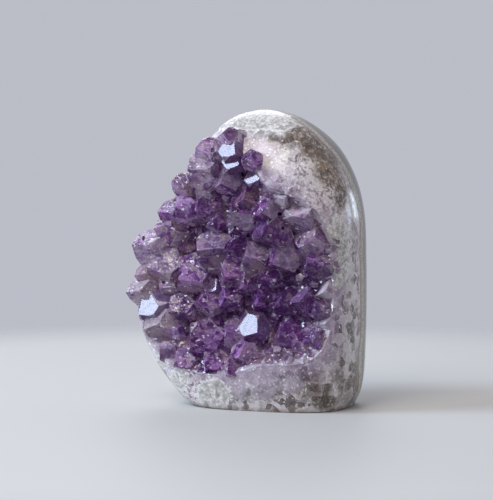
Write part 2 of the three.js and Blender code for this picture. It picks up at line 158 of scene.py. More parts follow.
# Middle crystals fill the rest on a loose grid, and small ones the gaps between those. Each fill has its
# columns and rows, their pitch, how loosely they stand, the ends of its radius and length, how close to a
# large crystal it comes, in their radii, and how far below the surface the hollow's floor has to be.
FILL_START = (-43, 10)
FILL_TOP = 97
FILL_RIGHT = 36
FILL_LEAN = ((-27, 17), (-20, 20))
LEAN_PAST = -20
LEAN_RATE = 0.8
FILLS = (
    {"count": (14, 17), "pitch": 6.6, "loose": 3.5, "radius": (3.0, 4.6), "length": (7.0, 10.0), "close": 0.8,
     "below": 1.6},
    {"count": (28, 36), "pitch": 3.3, "loose": 2.2, "radius": (1.3, 2.2), "length": (2.8, 5.0), "close": 0.55,
     "below": 3.6},
)

# The large crystals that catch the light, by their number, and the way in which a tip face of each looks:
# the angle from the front towards the right and the rise.
SHINING = (3, 4, 6, 27, 37, 49)
SHINING_WAY = (math.radians(-16.6), math.radians(21.7))

# Crystals right of this line end so far below the stone's surface, unless that makes them shorter than the
# least length. Those that root this near the surface are ground off where they stand out, a little below it.
GROUND_RIGHT_OF = 3
ENDS_BELOW = 0.4
LEAST_LENGTH = 3.4
GROUND_DEPTH = 7.0
GROUND_BELOW = 0.03

# The stone's own floor reaches to just below the crust's, and its pockets for ground crystals are a little
# smaller than the crystals, so that no air is left between them.
FLOOR_SHOWN = 1.9
POCKET_SHRUNK = 0.15

# Three balls stand for a crystal where it is asked which ones touch: their places along its length, their
# sizes in its radius, and what is added to each.
BALLS_ALONG = np.array([[0], [0.45], [0.85]])
BALLS_SIZE = np.array([1.45, 1.35, 0.9])
BALLS_MORE = 0.2

# The least product of three planes that meet in a point, and how far past a plane a corner may be.
LEAST_PRODUCT = 1e-6
ON_PLANE = 1e-7
# A direction that no plane of a crystal looks in, to measure angles on the planes from.
ASKEW = (0.3, 0.5, 0.81)

# Where the brown line runs on the stone's right side: heights and distances back, and the size, seed and
# length of its waves. At the foot nothing lies further in front of it than this, so a brown edge shows.
LINE_HEIGHTS = (0, 6, 15, 26, 41, 63, 74, 82, 91, 97, 104, 108)
LINE_BACK = (0.5, 3.4, 0.8, 2.3, 2.6, 3.4, 4.2, 1.1, -0.7, -4.1, -1.6, 3.5)
LINE_WAVES = (0.7, 3, 14)
FOOT_LINE = -0.9

# In millimetres: where the hollow's wall begins and is full under the stone's surface, how near to it a
# crystal counts as flush, how far from a ground crystal a point counts as its own, and how the lilac fades.
# Then the angle from which an edge of the stone is sharp.
WALL_DEPTH = (0.3, 2.5)
FLUSH = 0.3
GROUND_NEAR = 0.4
NEAR_FADE = 4.0
SHARP_FROM = math.radians(35)

# Patches of the stone's face and of the crystals, as seen: across, up, and half sizes across and up.
PATCHES = {
    "frost": (
        (-3, 107, 16, 5), (8, 104.5, 14, 3.2), (-24.4, 10.9, 2.8, 4.8), (-31.5, 22, 3.5, 8),
        (-11.8, 5.7, 5.5, 6.2), (33, 57, 4, 13)),
    "stain": (
        (19.5, 100, 5, 3), (25, 95.5, 5.6, 4.4), (29.5, 88, 4.6, 6.4), (34, 79, 2.4, 6), (28, 4, 5, 3),
        (42, 12, 3, 12)),
    "smoky": (
        (37, 11, 7, 9), (24, 8, 8, 5), (15, 97, 9, 3), (22, 92, 6, 5), (20, 14, 6, 5), (8, 4, 9, 3),
        (30, 86, 4, 6), (-18.6, 9.8, 3.2, 3.6)),
    "milky": ((28, 80, 9, 11), (20, 88, 8, 6), (34, 66, 5, 8), (-18, 6, 9, 6)),
    "small": (
        (35, 56, 6, 9), (38, 40, 4, 14), (34, 30, 4, 8), (38, 20, 5, 8), (22, 3, 12, 4), (8, 2, 12, 3)),
    "dark": ((18, 44, 15, 15), (8, 62, 8, 6), (-6, 84, 6, 6), (14, 28, 10, 6), (-8, 60, 9, 5)),
    # The pale patches at -36, -38 and -16 across paint the glow of light through the crystals at the left
    # edge; the others are paler crystals.
    "pale": (
        (34, 34, 8, 14), (18, 16, 14, 6), (-36, 34, 8, 14), (22, 72, 8, 6), (-38, 58, 6, 8),
        (-16, 88, 6, 6)),
}
# Dark specks in the crystals, and crystals of the cut face that show whole, given in the same way. The whole
# ones are flat, and painted with the shade of domes.
SPECKS = (
    (-12.3, 94.2, 0.8, 0.6), (12, 71.4, 0.9, 0.8), (13.1, 66.3, 0.7, 0.6), (-38.1, 61.2, 0.6, 0.9),
    (-30.5, 45.2, 0.9, 0.6), (7.6, 39.1, 0.7, 0.9), (-1.5, 85.5, 0.6, 0.9),
)
PAINTED_DOMES = (
    (6.6, 12, 5.8, 6.8), (-3.4, 9, 3.2, 4.6), (16.4, 10.6, 4, 3.2), (28.6, 71, 4.4, 3.2),
    (6, 93.5, 6.4, 4.4), (16, 86.5, 4.6, 3.8), (22, 79, 3.4, 4.2),
)


def closed_curve(points, steps):
    """A closed Catmull-Rom curve: four neighbouring points weighted by the cubic's blending terms."""
    b = np.asarray(points, float)
    a, c, d = np.roll(b, 1, 0), np.roll(b, -1, 0), np.roll(b, -2, 0)
    a, b, c, d = (v[:, None, :] for v in (a, b, c, d))
    t = (np.arange(steps) / steps)[None, :, None]
    made = 2 * b + (c - a) * t + (2 * a - 5 * b + 4 * c - d) * t**2 + (3 * b - a - 3 * c + d) * t**3
    return 0.5 * made.reshape(-1, made.shape[-1])


def rising_edges():
    """The outline's left and right edges, each from the foot to the top."""
    curve = closed_curve(OUTLINE, OUTLINE_STEPS)
    top = curve[:, 1].argmax()
    return np.vstack([curve[:1], curve[top:][::-1]]), curve[2 * OUTLINE_STEPS:top + 1]


LEFT_EDGE, RIGHT_EDGE = rising_edges()


def edge_at(edge, height):
    """How far across a rising edge is at a height, by straight lines between its points."""
    return np.interp(height, edge[:, 1], edge[:, 0])


def section(height):
    """A level section's half width and half depth and its middle. The half width is what the superellipse's
    support function leaves of the outline's half width, seen from VIEW_TURN."""
    left, right = edge_at(LEFT_EDGE, height), edge_at(RIGHT_EDGE, height)
    power = SQUARENESS / (SQUARENESS - 1)
    rise = np.abs((height - DEEPEST_AT) / (HEIGHT - DEEPEST_AT)) ** DEPTH_ROUNDNESS
    depth = HALF_DEPTH * np.maximum(1 - rise, 0) ** (1 / DEPTH_ROUNDNESS)
    seen_half = ((right - left) / 2) ** power - (depth * math.sin(VIEW_TURN)) ** power
    width = np.maximum(seen_half, 0) ** (1 / power) / math.cos(VIEW_TURN)
    y = LEAN_BACK * height
    x = ((right + left) / 2 - y * math.sin(VIEW_TURN)) / math.cos(VIEW_TURN)
    return width, depth, x, y


def signed_power(value, power):
    """A power of a number's size that keeps its sign."""
    return np.sign(value) * np.abs(value) ** power


def depth_in(points):
    """How deep points lie under the stone's surface, roughly, and less than 0 outside: what is left of the
    way out in their level sections, from 1 in the middle, times the lesser half size."""
    width, depth, x, y = section(np.clip(points[..., 2], END_GAP, HEIGHT - END_GAP))
    reach = np.abs((points[..., 0] - x) / width) ** SQUARENESS
    reach = (reach + np.abs((points[..., 1] - y) / depth) ** SQUARENESS) ** (1 / SQUARENESS)
    return (1 - reach) * np.minimum(width, depth)


def from_face(along, out, up):
    """Points of the hollow's own axes, turned by FACE_TURN, as points of the stone's, or the other way."""
    along, out, up = np.broadcast_arrays(along, out, up)
    x = along * math.cos(FACE_TURN) - out * math.sin(FACE_TURN)
    y = -along * math.sin(FACE_TURN) - out * math.cos(FACE_TURN)
    return np.stack([x, y, up], -1)


REACH = closed_curve([(r,) for r in HOLLOW_REACH], REACH_STEPS)[:, 0]


def reach_at(angle):
    """The hollow's reach from its middle in a direction, by straight lines between the curve's points."""
    place = np.mod(angle / (2 * math.pi), 1.0) * len(REACH)
    return np.interp(place, np.arange(len(REACH) + 1), np.append(REACH, REACH[0]))


def floor_out(share):
    """How far out the hollow's floor is at a share of its reach: nearly flat, then rising steeply."""
    return HOLLOW_FLOOR + HOLLOW_RISE * share**HOLLOW_POWER


def floor_at(along, up):
    """How far out the hollow's floor is at a place on the face."""
    dx, dz = along - HOLLOW_MIDDLE[0], up - HOLLOW_MIDDLE[1]
    return floor_out(np.minimum(np.hypot(dx, dz) / reach_at(np.arctan2(dz, dx)), FLARE))


def surface_out(along, up):
    """How far out the stone's surface is at a place on the face, found by halving."""
    inside = np.full(np.shape(up), -HALF_DEPTH / 2)
    outside = np.full(np.shape(up), HOLLOW_MOUTH)
    for _ in range(HALVINGS):
        out = (inside + outside) / 2
        within = depth_in(from_face(along, out, up)) > 0
        inside, outside = np.where(within, out, inside), np.where(within, outside, out)
    return inside


def root_out(along, up):
    """How far out a crystal's root is: on the hollow's floor, or on the stone where that lies further in."""
    return np.minimum(floor_at(along, up), surface_out(along, up))


def along_for(across, up):
    """The place along the face that is seen at a distance across, found by stepping towards it."""
    turn = VIEW_TURN + FACE_TURN
    along = np.array(across, float)
    for _ in range(PLACE_STEPS):
        wanted = (across + root_out(along, up) * math.sin(turn)) / math.cos(turn)
        along = along + PLACE_STEP * (wanted - along)
    return along


def chance(index, use):
    """A repeatable number from 0 to 1 for a crystal's index and a use."""
    value = np.sin(np.asarray(index) * CHANCE[0] + np.asarray(use) * CHANCE[1]) * CHANCE[2]
    return value - np.floor(value)


def between(ends, share):
    """The number at a share of the way from one end to the other."""
    return ends[0] + (ends[1] - ends[0]) * share


def smooth(value, low, high):
    """0 at low, 1 at high, with the cubic 3t squared minus 2t cubed between."""
    t = np.clip((value - low) / (high - low), 0, 1)
    return t * t * (3 - 2 * t)


def waves(points, seed, size, count=14, longest=2.5):
    """Soft unevenness about 0: sines along random directions, from the size to so many times it long."""
    random = np.random.default_rng(seed)
    ways = random.normal(size=(count, 3))
    ways /= np.linalg.norm(ways, axis=1)[:, None]
    pace = 2 * np.pi / (size * random.uniform(1, longest, count))
    return np.sin(points @ (ways * pace[:, None]).T + random.uniform(0, 7, count)).sum(1) / math.sqrt(count)


def seen(points):
    """Points as the distance across that they are seen at, and their height."""
    return points[..., 0] * math.cos(VIEW_TURN) + points[..., 1] * math.sin(VIEW_TURN), points[..., 2]


def blobs(across, up, places):
    """The strongest of soft ovals at places."""
    strength = np.zeros(len(across))
    for x, z, wide, high in places:
        strength = np.maximum(strength, np.exp(-(((across - x) / wide) ** 2 + ((up - z) / high) ** 2)))
    return strength


def stone_shift():
    """From the stone's own axes to the frame's: the stone's uncut right and back sides and its base,
    compared with its node's box."""
    width, depth, x, y = section(np.linspace(0, HEIGHT, BOX_LEVELS))
    low, high = np.array(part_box("polished_stone")) / MM
    return np.array([high[0] - np.max(x + width), high[1] - np.max(y + depth), low[2]])


SHIFT = stone_shift()


def linked(name, data):
    """An object in the scene that holds a mesh, a lamp or a camera."""
    made = bpy.data.objects.new(name, data)
    bpy.context.scene.collection.objects.link(made)
    return made


def new_object(name, points, faces):
    """An object at the origin from points in millimetres in the stone's own axes, and faces."""
    mesh = bpy.data.meshes.new(name)
    mesh.from_pydata((np.asarray(points) + SHIFT) * MM, [], faces)
    mesh.validate()
    return linked(name, mesh)


def round_turn(count):
    """Evenly spaced angles of a full turn."""
    return 2 * np.pi * np.arange(count) / count


def closed_loft(rings, first, last):
    """Points and faces of a closed surface through rings of equal length, from a point inside the first
    ring to one inside the last."""
    count, around = rings.shape[:2]
    points = np.vstack([[first], rings.reshape(-1, 3), [last]])
    i = np.arange(around)
    j = (i + 1) % around
    ring = 1 + around * np.arange(count - 1)[:, None]
    quads = np.stack([ring + i, ring + j, ring + around + j, ring + around + i], -1).reshape(-1, 4)
    end = 1 + around * (count - 1)
    low = np.stack([0 * i, 1 + j, 1 + i], -1)
    high = np.stack([0 * i + len(points) - 1, end + i, end + j], -1)
    return points, quads.tolist() + low.tolist() + high.tolist()


def whole_stone(rows, around, grow=0.0):
    """The whole stone before the hollow is cut: level superellipses whose heights follow a cosine."""
    height = HEIGHT * (1 - np.cos(np.pi * np.arange(rows) / rows)) / 2
    width, depth, x, y = section(height)
    angle = round_turn(around)
    power = 2 / SQUARENESS
    rings = np.empty((rows, around, 3))
    rings[..., 0] = x[:, None] + (width + grow)[:, None] * signed_power(np.cos(angle), power)
    rings[..., 1] = y[:, None] + (depth + grow)[:, None] * signed_power(np.sin(angle), power)
    rings[..., 2] = height[:, None]
    rings[0, :, 2] -= grow
    ends = [np.array([section(h)[2], section(h)[3], h]) for h in (0.0, HEIGHT)]
    return closed_loft(rings, ends[0] - [0, 0, grow], ends[1] + [0, 0, grow])


def hollow(around, margin, mouth=HOLLOW_MOUTH):
    """The space in front of the hollow's floor, taken in by a margin: rings at shares of its reach."""
    angle = round_turn(around)
    out = floor_out(RING_SHARES) + margin
    out[-1] = mouth
    reach = RING_SHARES[:, None] * reach_at(angle) - margin
    along, up = HOLLOW_MIDDLE[0] + reach * np.cos(angle), HOLLOW_MIDDLE[1] + reach * np.sin(angle)
    ends = [from_face(HOLLOW_MIDDLE[0], far, HOLLOW_MIDDLE[1]) for far in (floor_out(0) + margin, mouth)]
    return closed_loft(from_face(along, out[:, None], up), *ends)


def combine(piece, steps):
    """Joins and cuts a closed piece with others in turn, given as "UNION", "DIFFERENCE" or "INTERSECT" and
    the other, and leaves only the result."""
    for operation, other in steps:
        modifier = piece.modifiers.new(operation.lower(), "BOOLEAN")
        modifier.solver = "MANIFOLD"
        modifier.operation = operation
        modifier.object = other
    graph = bpy.context.evaluated_depsgraph_get()
    made = bpy.data.meshes.new_from_object(piece.evaluated_get(graph))
    piece.modifiers.clear()
    old = piece.data
    piece.data = made
    bpy.data.meshes.remove(old)
    for other in {other for _, other in steps}:
        mesh = other.data
        bpy.data.objects.remove(other)
        bpy.data.meshes.remove(mesh)
    made.name = piece.name
    made.materials.clear()


def read(items, name, kind=np.int32, each=1):
    """What a mesh holds for all its points, edges, corners or faces, as one array."""
    values = np.empty(len(items) * each, kind)
    items.foreach_get(name, values)
    return values


def keep_largest(mesh):
    """Leaves only the shell with the most points, without the slivers that cuts leave. Each point takes the
    lowest number along its edges, and that number's own, until none changes, so a shell shares one."""
    ends = read(mesh.edges, "vertices", each=2).reshape(-1, 2).T
    shell = np.arange(len(mesh.vertices))
    changed = True
    while changed:
        lowest = shell.copy()
        for end in ends:
            np.minimum.at(lowest, end, shell[ends].min(0))
        lowest = lowest[lowest]
        changed = (lowest != shell).any()
        shell = lowest
    stray = np.where(shell != np.bincount(shell).argmax())[0]
    work = bmesh.new()
    work.from_mesh(mesh)
    work.verts.ensure_lookup_table()
    bmesh.ops.delete(work, geom=[work.verts[i] for i in stray], context="VERTS")
    work.to_mesh(mesh)
    work.free()


def crystal_planes(radius, length, index):
    """The planes of each crystal about its own axis, as unit normals and distances: a foot, six sides, and
    six tip faces of which every other one lies further out."""
    count = len(radius)
    side = np.arange(6)
    angle = np.pi / 3 * side
    normals = np.zeros((count, OWN_PLANES, 3))
    far = np.full((count, OWN_PLANES), ROOT_DEPTH)
    normals[:, 0, 2] = -1
    normals[:, 1::2, :2] = np.stack([np.cos(angle), np.sin(angle)], -1)
    normals[:, 2::2, :2] = normals[:, 1::2, :2] * math.sin(TIP_FACE)
    normals[:, 2::2, 2] = math.cos(TIP_FACE)
    number = np.asarray(index)[:, None]
    far[:, 1::2] = radius[:, None] * (SIDE_LEAST + SIDE_VARIES * chance(number, side))
    further = (side % 2) * SMALL_TIP + TIP_VARIES * chance(number, side + 6)
    far[:, 2::2] = length[:, None] * math.cos(TIP_FACE) + radius[:, None] * further
    return normals, far


# The pairs of a crystal's planes that meet in its edges: sides with sides, sides with tips, tips with tips.
EDGE_PAIRS = np.array(
    [(1 + 2 * k, 1 + 2 * ((k + 1) % 6)) for k in range(6)]
    + [(1 + 2 * k, 2 + 2 * k) for k in range(6)]
    + [(2 + 2 * k, 2 + 2 * ((k + 1) % 6)) for k in range(6)])


def worn(normals, far, radius, index):
    """The planes with one more across each edge: its normal is the middle one of its pair, and it lies a
    little inside the line where they meet, by an amount that differs from edge to edge."""
    a, b = EDGE_PAIRS.T
    middle = normals[:, a] + normals[:, b]
    size = np.linalg.norm(middle, axis=-1)
    wear = between(EDGE_WEAR, chance(np.asarray(index)[:, None], FOR_WEAR + np.arange(len(EDGE_PAIRS))))
    cut = (far[:, a] + far[:, b]) / size - wear * np.sqrt(radius)[:, None]
    return np.concatenate([normals, middle / size[..., None]], 1), np.concatenate([far, cut], 1)


def axis_turns(axis, turn):
    """The rotation of each crystal: a turn about +Z, then the shortest turn of +Z onto its axis, as a
    matrix by Rodrigues' formula."""
    c, s = np.cos(turn), np.sin(turn)
    spin = np.zeros((len(axis), 3, 3))
    spin[:, 0, 0], spin[:, 0, 1], spin[:, 1, 0], spin[:, 1, 1], spin[:, 2, 2] = c, -s, s, c, 1
    v = np.cross([0, 0, 1.0], axis)
    skew = np.zeros((len(axis), 3, 3))
    skew[:, 0, 1], skew[:, 0, 2], skew[:, 1, 2] = -v[:, 2], v[:, 1], -v[:, 0]
    skew -= np.swapaxes(skew, 1, 2)
    swing = np.eye(3) + skew + skew @ skew / (1 + axis[:, 2])[:, None, None]
    return swing @ spin


def turned_to_light(turns, index):
    """The rotations, with those of the shining crystals followed by the shortest one that makes the nearest
    of their three larger tip faces look the shining way."""
    angle = np.pi / 3 * np.arange(0, 6, 2)
    wide, high = math.sin(TIP_FACE), math.cos(TIP_FACE)
    tips = np.stack([np.cos(angle) * wide, np.sin(angle) * wide, np.full(3, high)])
    way = np.array(towards(*SHINING_WAY))
    turns = turns.copy()
    for i in np.where(np.isin(index, SHINING))[0]:
        looks = (turns[i] @ tips).T
        tip = looks[np.argmax(looks @ way)]
        turns[i] = np.array(Vector(tip).rotation_difference(Vector(way)).to_matrix()) @ turns[i]
    return turns


def crystal_rows():
    """The large crystals' rows, then those of each fill, wherever no large one is close."""
    large = np.array(LARGE_CRYSTALS, float)
    large[:, 2] *= WIDER
    rows = [large]
    index = [np.arange(len(large))]
    first = len(large)
    for fill in FILLS:
        row, column = (v.ravel() for v in np.mgrid[0:fill["count"][1], 0:fill["count"][0]])
        number = first + np.arange(len(row))
        first += len(row)
        shift = [fill["loose"] * (chance(number, use) - 0.5) for use in (FOR_ACROSS, FOR_UP)]
        across = FILL_START[0] + fill["pitch"] * (column + (row % 2) / 2) + shift[0]
        up = FILL_START[1] + fill["pitch"] * math.sin(math.pi / 3) * row + shift[1]
        radius = between(fill["radius"], chance(number, FOR_RADIUS))
        along = along_for(across, up)
        keep = (across > edge_at(LEFT_EDGE, up)) & (across < FILL_RIGHT) & (up < FILL_TOP)
        keep &= surface_out(along, up) > floor_at(along, up) + fill["below"]
        apart = np.hypot(across[:, None] - large[:, 0], up[:, None] - large[:, 1])
        keep &= (apart > fill["close"] * (large[:, 2] + radius[:, None])).all(1)
        right = between(FILL_LEAN[0], chance(number, FOR_RIGHT))
        right += LEAN_RATE * np.minimum(0, across - LEAN_PAST)
        upwards = between(FILL_LEAN[1], chance(number, FOR_UPWARDS))
        turn = 60 * chance(number, FOR_TURN)
        length = between(fill["length"], chance(number, FOR_LENGTH))
        rows.append(np.stack([across, up, radius, right, upwards, turn, length], -1)[keep])
        index.append(number[keep])
    return np.vstack(rows), np.concatenate(index)


def all_crystals():
    """Every crystal of the crust: its planes where it stands, its root, its axis and its length."""
    rows, index = crystal_rows()
    across, up, radius, right, upwards, turn, length = rows.T
    axis = from_face(np.tan(np.radians(right)), np.ones(len(rows)), np.tan(np.radians(upwards)))
    axis /= np.linalg.norm(axis, axis=1)[:, None]
    turns = turned_to_light(axis_turns(axis, np.radians(turn)), index)
    axis = turns[:, :, 2]
    aside = seen(axis)[0]
    full = length
    for _ in range(LENGTH_STEPS):
        root_up = up - CAP * length * axis[:, 2]
        along = along_for(across - CAP * length * aside, root_up)
        below = surface_out(along, root_up) - floor_at(along, root_up)
        low = np.minimum(full, np.maximum(below - ENDS_BELOW, LEAST_LENGTH))
        length = np.where(across > GROUND_RIGHT_OF, low, full)
    root = from_face(along, root_out(along, root_up), root_up)
    normals, far = worn(*crystal_planes(radius, length, index), radius, index)
    normals = np.einsum("nij,nkj->nki", turns, normals)
    far = far + np.einsum("nki,ni->nk", normals, root)
    ground = (below < GROUND_DEPTH) & (across > GROUND_RIGHT_OF)
    return {"normals": normals, "far": far, "root": root, "axis": axis, "length": length, "radius": radius,
            "index": index, "ground": ground}


PLANES = OWN_PLANES + len(EDGE_PAIRS)
TRIPLES = np.stack(np.meshgrid(*3 * [np.arange(PLANES)], indexing="ij"), -1).reshape(-1, 3)
TRIPLES = TRIPLES[(TRIPLES[:, 0] < TRIPLES[:, 1]) & (TRIPLES[:, 1] < TRIPLES[:, 2])]


def crystal_corners(normals, far):
    """The corners that one crystal's planes leave, and for each plane that has any the ring of corners on it:
    every three planes meet in a point, which is kept where no other plane cuts it off."""
    a, b, c = (normals[TRIPLES[:, k]] for k in range(3))
    bc = np.cross(b, c)
    size = np.einsum("ni,ni->n", a, bc)
    good = np.abs(size) > LEAST_PRODUCT
    a, b, c, bc, size = a[good], b[good], c[good], bc[good], size[good]
    away = far[TRIPLES[good]]
    points = away[:, :1] * bc + away[:, 1:2] * np.cross(c, a) + away[:, 2:] * np.cross(a, b)
    points /= size[:, None]
    inside = (points @ normals.T < far + ON_PLANE).all(1)
    points, on = points[inside], TRIPLES[good][inside]
    faces, planes = [], []
    for plane in range(len(far)):
        ring = np.where((on == plane).any(1))[0]
        if len(ring) < 3:
            continue
        planes.append(plane)
        n = normals[plane]
        side = np.cross(n, ASKEW)
        from_middle = points[ring] - points[ring].mean(0)
        turned = np.arctan2(from_middle @ np.cross(n, side), from_middle @ side)
        faces.append(ring[np.argsort(turned)])
    return points, faces, planes


def apart_groups(placed):
    """Groups of crystals in which no two touch. Each crystal is taken as three balls along its axis."""
    at = placed["root"][:, None] + placed["axis"][:, None] * placed["length"][:, None, None] * BALLS_ALONG
    at = at.reshape(-1, 3)
    size = (placed["radius"][:, None] * BALLS_SIZE + BALLS_MORE).ravel()
    count = len(placed["radius"])
    gap = np.linalg.norm(at[:, None] - at, axis=-1) - size[:, None] - size
    touch = (gap < 0).reshape(count, 3, count, 3).any((1, 3))
    group = np.full(count, -1)
    for i in np.argsort(-placed["radius"]):
        taken = set(group[touch[i] & (group >= 0)])
        group[i] = next(g for g in range(count) if g not in taken)
    return group


def crystal_objects(placed, chosen, shrunk=0.0):
    """One object for each group of the chosen crystals, in which none touch, optionally shrunk. Each face
    carries a number that holds its crystal's place in the arrays, from 1, and its plane."""
    objects = []
    chosen = np.where(chosen)[0]
    group = apart_groups({key: value[chosen] for key, value in placed.items()})
    for g in range(group.max() + 1):
        points, faces, owners = [], [], []
        start = 0
        for i in chosen[group == g]:
            corners, rings, planes = crystal_corners(placed["normals"][i], placed["far"][i] - shrunk)
            points.append(corners)
            faces += [(ring + start).tolist() for ring in rings]
            owners += [(i + 1) * PLANES + plane for plane in planes]
            start += len(corners)
        made = new_object(f"group_{g}", np.vstack(points), faces)
        carry(made.data, "owner", owners, "FACE")
        objects.append(made)
    return objects


class Signal:
    """A shader socket that takes part in expressions. Each operator adds one Math node."""

    def __init__(self, graph, socket):
        self.graph = graph
        self.socket = socket

    def math(self, operation, *others):
        node = self.graph.tree.nodes.new("ShaderNodeMath")
        node.operation = operation
        for socket, value in zip(node.inputs, (self, *others)):
            self.graph.feed(socket, value)
        return Signal(self.graph, node.outputs[0])

    def __add__(self, other):
        return self.math("ADD", other)

    def __sub__(self, other):
        return self.math("SUBTRACT", other)

    def __mul__(self, other):
        return self.math("MULTIPLY", other)

    def __rsub__(self, other):
        return self * -1.0 + other

    __radd__ = __add__
    __rmul__ = __mul__

    def clamp(self):
        return self.math("MAXIMUM", 0.0).math("MINIMUM", 1.0)

    def step(self, low, high):
        """0 at low, 1 at high and a smooth rise between them, also where high is the lower number."""
        ends = (low, high, 0.0, 1.0) if low < high else (high, low, 1.0, 0.0)
        inputs = {0: self, **dict(enumerate(ends, 1))}
        return self.graph.node("MapRange", {"interpolation_type": "SMOOTHSTEP"}, inputs)


TINT = "MULTIPLY"


class Graph:
    """A material's or world's node tree, and the expressions that make it."""

    def __init__(self, owner):
        owner.use_nodes = True
        self.owner = owner
        self.tree = owner.node_tree
        self.tree.nodes.clear()

    def feed(self, socket, value):
        """Links a signal to a socket, or sets its value. A colour may be given without its alpha."""
        if isinstance(value, Signal):
            self.tree.links.new(value.socket, socket)
        elif socket.type == "RGBA" and len(value) == 3:
            socket.default_value = (*value, 1.0)
        else:
            socket.default_value = value

    def node(self, kind, settings=None, inputs=None, output=0):
        """One node of a kind, with its settings, then its sockets' values or links, by name or number."""
        made = self.tree.nodes.new("ShaderNode" + kind)
        for name, value in (settings or {}).items():
            setattr(made, name, value)
        for name, value in (inputs or {}).items():
            self.feed(made.inputs[name], value)
        return Signal(self, made.outputs[output])

    def mix(self, share, low, high, blend="MIX"):
        """A colour between two, or with TINT between the first and both multiplied."""
        return self.node("Mix", {"data_type": "RGBA", "blend_type": blend}, {0: share, 6: low, 7: high}, 2)

    def over(self, made, *layers):
        """A colour with others laid over it in turn, each by its share and as mix does it."""
        for share, *layer in layers:
            made = self.mix(share, made, *layer)
        return made

    def vector(self, operation, first, second=(0.0, 0.0, 0.0), output=0, scale=1.0):
        """Vector maths on one or two vectors."""
        return self.node("VectorMath", {"operation": operation}, {0: first, 1: second, 3: scale}, output)

    def place(self, scale=(1.0, 1.0, 1.0), turn=(0.0, 0.0, 0.0)):
        """The object coordinates in millimetres, stretched and turned."""
        coordinates = self.node("TexCoord", output="Object")
        scale = [v / MM for v in scale]
        return self.node("Mapping", inputs={"Vector": coordinates, "Scale": scale, "Rotation": turn})

    def noise(self, place, scale, detail=3.0, roughness=0.5, distortion=0.0, output=0):
        """Cloudy noise from 0 to 1, about its middle. The scale is in features per millimetre."""
        values = {"Vector": place, "Scale": scale, "Detail": detail, "Roughness": roughness,
                  "Distortion": distortion}
        return self.node("TexNoise", inputs=values, output=output)

    def noise_along(self, value, scale, detail):
        """Cloudy noise along one number."""
        inputs = {"W": value, "Scale": scale, "Detail": detail}
        return self.node("TexNoise", {"noise_dimensions": "1D"}, inputs)

    def warp(self, place, scale, by):
        """Places moved about by noise, by so many millimetres."""
        moved = self.vector("SUBTRACT", self.noise(place, scale, 2.0, output="Color"), (0.5, 0.5, 0.5))
        return self.vector("ADD", place, self.vector("SCALE", moved, scale=by))

    def cells(self, place, scale, feature="F1", output="Distance"):
        """Voronoi cells. The scale is in cells per millimetre."""
        return self.node("TexVoronoi", {"feature": feature}, {"Vector": place, "Scale": scale}, output)

    def picked(self, place, scale):
        """A random number from 0 to 1 for each cell: the red part of its colour."""
        return self.node("SeparateColor", inputs={0: self.cells(place, scale, output="Color")})

    def facets(self, place, scale):
        """Broken crystal, about 0: each cell gets lighter towards a way of its own, by its random colour less
        a half along the way from its middle.
        As a height it tilts each cell; where it makes a colour lighter or darker it is painted shade, as if
        each cell were lit from one side."""
        cell = self.cells(place, scale, output="Color")
        middle = Signal(self, cell.socket.node.outputs["Position"])
        away = self.vector("SUBTRACT", place, middle)
        way = self.vector("SUBTRACT", cell, (0.5, 0.5, 0.5))
        return self.vector("DOT_PRODUCT", way, away, output="Value") * scale

    def ovals(self, places, scale, by):
        """The least distance from the middles of ovals as seen, in their half sizes, with uneven edges."""
        turned = self.warp(self.place(turn=(0.0, 0.0, -VIEW_TURN)), scale, by)
        shift = seen(SHIFT)[0]
        least = 9.0
        for across, up, wide, high in places:
            away = self.vector("SUBTRACT", turned, (across + shift, 0.0, up + SHIFT[2]))
            away = self.vector("MULTIPLY", away, (1 / wide, 0.0, 1 / high))
            least = self.vector("LENGTH", away, output="Value").math("MINIMUM", least)
        return least

    def carried(self, names):
        """The values that the mesh carries under names with spaces between them."""
        return [self.node("Attribute", {"attribute_name": name}, output="Fac") for name in names.split()]

    def bump(self, strength, height):
        """The normals of a surface with a height in millimetres."""
        return self.node("Bump", inputs={"Strength": strength, "Distance": MM, "Height": height})

    def finish(self, surface, volume=None):
        """Links the shaders to the output and gives the material or world."""
        kind = "World" if isinstance(self.owner, bpy.types.World) else "Material"
        out = self.tree.nodes.new(f"ShaderNodeOutput{kind}")
        self.tree.links.new(surface.socket, out.inputs["Surface"])
        if volume:
            self.tree.links.new(volume.socket, out.inputs["Volume"])
        return self.owner


def polished(g, made, rough, bump):
    """Polished quartz that light enters a little way."""
    return g.node("BsdfPrincipled", {"subsurface_method": "RANDOM_WALK"}, {
        "Base Color": made, "Roughness": rough, "IOR": 1.54, "Normal": bump,
        "Subsurface Weight": 0.35, "Subsurface Radius": (1.0, 0.9, 1.0), "Subsurface Scale": 0.0012})


